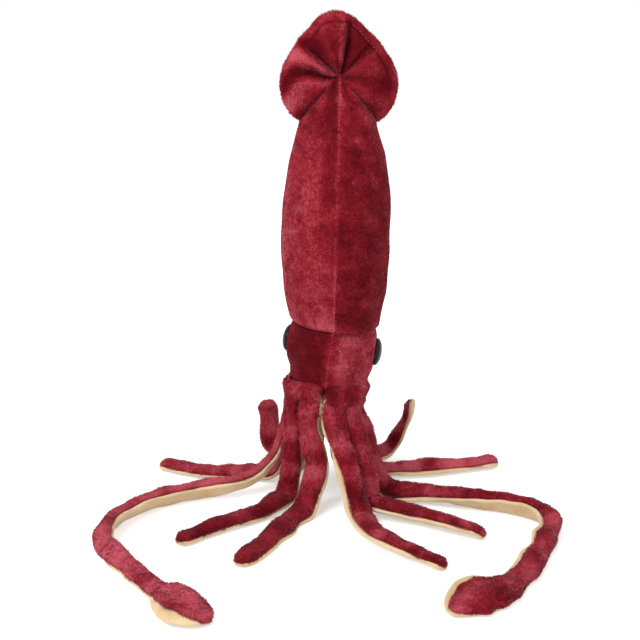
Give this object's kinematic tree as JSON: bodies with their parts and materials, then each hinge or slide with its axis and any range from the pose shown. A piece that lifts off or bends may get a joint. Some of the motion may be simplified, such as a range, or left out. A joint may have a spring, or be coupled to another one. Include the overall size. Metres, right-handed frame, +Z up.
{
  "type": "plush squid toy",
  "caption": "Soft plush squid with a stuffed mantle, puffed tail fin, domed eyes and bendable suede-soled arms and tentacles, standing on its arms.",
  "frame": {"origin": "middle of the toy's outline, on the floor", "axes": "+Z up, -Y the way the toy faces, +X to the right in the picture"},
  "size_m": [0.2851, 0.2754, 0.3158],
  "materials": {
    "crimson_plush": "short brushed pile, mottled crimson",
    "tan_suede": "smooth suede cloth",
    "white_fibre": "loose polyester filling",
    "black_gloss_plastic": "polished",
    "white_nylon": "moulded"
  },
  "bodies": {
    "head": {"head_left_panel": "crimson_plush", "head_right_panel": "crimson_plush", "head_stuffing": "white_fibre", "arm_crown": "crimson_plush", "left_eye": "black_gloss_plastic", "left_eye_washer": "white_nylon", "right_eye": "black_gloss_plastic", "right_eye_washer": "white_nylon"},
    "mantle": {"mantle_left_panel": "crimson_plush", "mantle_right_panel": "crimson_plush", "mantle_stuffing": "white_fibre"},
    "fin": {"fin_front_layer": "crimson_plush", "fin_back_layer": "crimson_plush", "fin_stuffing": "white_fibre"},
    "front_left_arm_base": {"front_left_arm_base_plush": "crimson_plush", "front_left_arm_base_suede": "tan_suede"},
    "front_left_arm_tip": {"front_left_arm_tip_plush": "crimson_plush", "front_left_arm_tip_suede": "tan_suede"},
    "outer_left_arm_base": {"outer_left_arm_base_plush": "crimson_plush", "outer_left_arm_base_suede": "tan_suede"},
    "outer_left_arm_tip": {"outer_left_arm_tip_plush": "crimson_plush", "outer_left_arm_tip_suede": "tan_suede"},
    "side_left_arm_base": {"side_left_arm_base_plush": "crimson_plush", "side_left_arm_base_suede": "tan_suede"},
    "side_left_arm_tip": {"side_left_arm_tip_plush": "crimson_plush", "side_left_arm_tip_suede": "tan_suede"},
    "back_left_arm_base": {"back_left_arm_base_plush": "crimson_plush", "back_left_arm_base_suede": "tan_suede"},
    "back_left_arm_tip": {"back_left_arm_tip_plush": "crimson_plush", "back_left_arm_tip_suede": "tan_suede"},
    "front_right_arm_base": {"front_right_arm_base_plush": "crimson_plush", "front_right_arm_base_suede": "tan_suede"},
    "front_right_arm_tip": {"front_right_arm_tip_plush": "crimson_plush", "front_right_arm_tip_suede": "tan_suede"},
    "outer_right_arm_base": {"outer_right_arm_base_plush": "crimson_plush", "outer_right_arm_base_suede": "tan_suede"},
    "outer_right_arm_tip": {"outer_right_arm_tip_plush": "crimson_plush", "outer_right_arm_tip_suede": "tan_suede"},
    "side_right_arm_base": {"side_right_arm_base_plush": "crimson_plush", "side_right_arm_base_suede": "tan_suede"},
    "side_right_arm_tip": {"side_right_arm_tip_plush": "crimson_plush", "side_right_arm_tip_suede": "tan_suede"},
    "back_right_arm_base": {"back_right_arm_base_plush": "crimson_plush", "back_right_arm_base_suede": "tan_suede"},
    "back_right_arm_tip": {"back_right_arm_tip_plush": "crimson_plush", "back_right_arm_tip_suede": "tan_suede"},
    "left_tentacle_stalk": {"left_tentacle_stalk_plush": "crimson_plush", "left_tentacle_stalk_suede": "tan_suede"},
    "left_tentacle_bend": {"left_tentacle_bend_plush": "crimson_plush", "left_tentacle_bend_suede": "tan_suede"},
    "left_tentacle_club": {"left_tentacle_club_plush": "crimson_plush", "left_tentacle_club_suede": "tan_suede"},
    "right_tentacle_stalk": {"right_tentacle_stalk_plush": "crimson_plush", "right_tentacle_stalk_suede": "tan_suede"},
    "right_tentacle_bend": {"right_tentacle_bend_plush": "crimson_plush", "right_tentacle_bend_suede": "tan_suede"},
    "right_tentacle_club": {"right_tentacle_club_plush": "crimson_plush", "right_tentacle_club_suede": "tan_suede"}
  },
  "joints": [
    {"name": "neck_joint", "type": "hinge", "parent": "head", "child": "mantle", "pos_m": [0.00375, 0.0525, 0.11235], "axis": [0.9998, 0, -0.0175], "range_deg": [-12, 12]},
    {"name": "fin_joint", "type": "hinge", "parent": "mantle", "child": "fin", "pos_m": [0.00661, 0.0525, 0.27582], "axis": [0.9998, 0, -0.0175], "range_deg": [-20, 20]},
    {"name": "front_left_arm_base_joint", "type": "hinge", "parent": "head", "child": "front_left_arm_base", "pos_m": [-0.01101, 0.02922, 0.0732], "axis": [-0.9107, 0.3904, 0.1354], "range_deg": [0, 60]},
    {"name": "front_left_arm_tip_joint", "type": "hinge", "parent": "front_left_arm_base", "child": "front_left_arm_tip", "pos_m": [-0.03232, -0.01928, 0.00375], "axis": [-0.9184, 0.3957, 0], "range_deg": [0, 70]},
    {"name": "outer_left_arm_base_joint", "type": "hinge", "parent": "head", "child": "outer_left_arm_base", "pos_m": [-0.02272, 0.03947, 0.07464], "axis": [-0.5069, 0.8572, 0.0915], "range_deg": [0, 60]},
    {"name": "outer_left_arm_tip_joint", "type": "hinge", "parent": "outer_left_arm_base", "child": "outer_left_arm_tip", "pos_m": [-0.05712, -0.00027, 0.00446], "axis": [-0.5717, 0.8138, -0.1045], "range_deg": [0, 70]},
    {"name": "side_left_arm_base_joint", "type": "hinge", "parent": "head", "child": "side_left_arm_base", "pos_m": [-0.02015, 0.06909, 0.07433], "axis": [0.651, 0.7547, -0.0812], "range_deg": [0, 60]},
    {"name": "side_left_arm_tip_joint", "type": "hinge", "parent": "side_left_arm_base", "child": "side_left_arm_tip", "pos_m": [-0.07233, 0.07716, 0.00469], "axis": [0.2003, 0.9698, -0.1392], "range_deg": [0, 70]},
    {"name": "back_left_arm_base_joint", "type": "hinge", "parent": "head", "child": "back_left_arm_base", "pos_m": [-0.00685, 0.07715, 0.07269], "axis": [0.9642, 0.2243, -0.1414], "range_deg": [0, 60]},
    {"name": "back_left_arm_tip_joint", "type": "hinge", "parent": "back_left_arm_base", "child": "back_left_arm_tip", "pos_m": [-0.03228, 0.11589, 0.00372], "axis": [0.8243, 0.5661, -0.0002], "range_deg": [0, 70]},
    {"name": "front_right_arm_base_joint", "type": "hinge", "parent": "head", "child": "front_right_arm_base", "pos_m": [0.00445, 0.02785, 0.07131], "axis": [-0.9549, -0.2294, 0.1888], "range_deg": [0, 60]},
    {"name": "front_right_arm_tip_joint", "type": "hinge", "parent": "front_right_arm_base", "child": "front_right_arm_tip", "pos_m": [0.03642, -0.03361, 0.00572], "axis": [-0.7147, -0.6275, 0.309], "range_deg": [0, 70]},
    {"name": "outer_right_arm_base_joint", "type": "hinge", "parent": "head", "child": "outer_right_arm_base", "pos_m": [0.01775, 0.03591, 0.06967], "axis": [-0.6458, -0.7554, 0.1106], "range_deg": [0, 60]},
    {"name": "outer_right_arm_tip_joint", "type": "hinge", "parent": "outer_right_arm_base", "child": "outer_right_arm_tip", "pos_m": [0.05747, -0.00063, 0.00655], "axis": [-0.4218, -0.7812, 0.4602], "range_deg": [0, 70]},
    {"name": "side_right_arm_base_joint", "type": "hinge", "parent": "head", "child": "side_right_arm_base", "pos_m": [0.02032, 0.06553, 0.06936], "axis": [0.5104, -0.8573, -0.0667], "range_deg": [0, 60]},
    {"name": "side_right_arm_tip_joint", "type": "hinge", "parent": "side_right_arm_base", "child": "side_right_arm_tip", "pos_m": [0.07355, 0.08466, 0.00512], "axis": [0.2274, -0.9514, 0.2079], "range_deg": [0, 70]},
    {"name": "back_right_arm_base_joint", "type": "hinge", "parent": "head", "child": "back_right_arm_base", "pos_m": [0.00861, 0.07578, 0.0708], "axis": [0.9071, -0.3925, -0.1521], "range_deg": [0, 60]},
    {"name": "back_right_arm_tip_joint", "type": "hinge", "parent": "back_right_arm_base", "child": "back_right_arm_tip", "pos_m": [0.03727, 0.11377, 0.00429], "axis": [0.3485, -0.9362, 0.0451], "range_deg": [0, 70]},
    {"name": "left_tentacle_stalk_joint", "type": "hinge", "parent": "head", "child": "left_tentacle_stalk", "pos_m": [-0.02621, 0.0547, 0.07507], "axis": [0.086, 0.9962, -0.0146], "range_deg": [0, 50]},
    {"name": "left_tentacle_bend_joint", "type": "hinge", "parent": "left_tentacle_stalk", "child": "left_tentacle_bend", "pos_m": [-0.13208, -0.0503, 0.00709], "axis": [-0.671, -0.3361, -0.661], "range_deg": [0, 60]},
    {"name": "left_tentacle_club_joint", "type": "hinge", "parent": "left_tentacle_bend", "child": "left_tentacle_club", "pos_m": [-0.10091, -0.09176, 0.00398], "axis": [-0.7839, -0.6193, -0.0454], "range_deg": [0, 60]},
    {"name": "right_tentacle_stalk_joint", "type": "hinge", "parent": "head", "child": "right_tentacle_stalk", "pos_m": [0.02381, 0.05029, 0.06893], "axis": [-0.081, -0.9961, 0.0345], "range_deg": [0, 50]},
    {"name": "right_tentacle_bend_joint", "type": "hinge", "parent": "right_tentacle_stalk", "child": "right_tentacle_bend", "pos_m": [0.13183, -0.03891, 0.00727], "axis": [-0.6637, 0.2124, 0.7172], "range_deg": [0, 60]},
    {"name": "right_tentacle_club_joint", "type": "hinge", "parent": "right_tentacle_bend", "child": "right_tentacle_club", "pos_m": [0.10933, -0.08564, 0.00549], "axis": [-0.814, 0.503, 0.2907], "range_deg": [0, 60]}
  ]
}
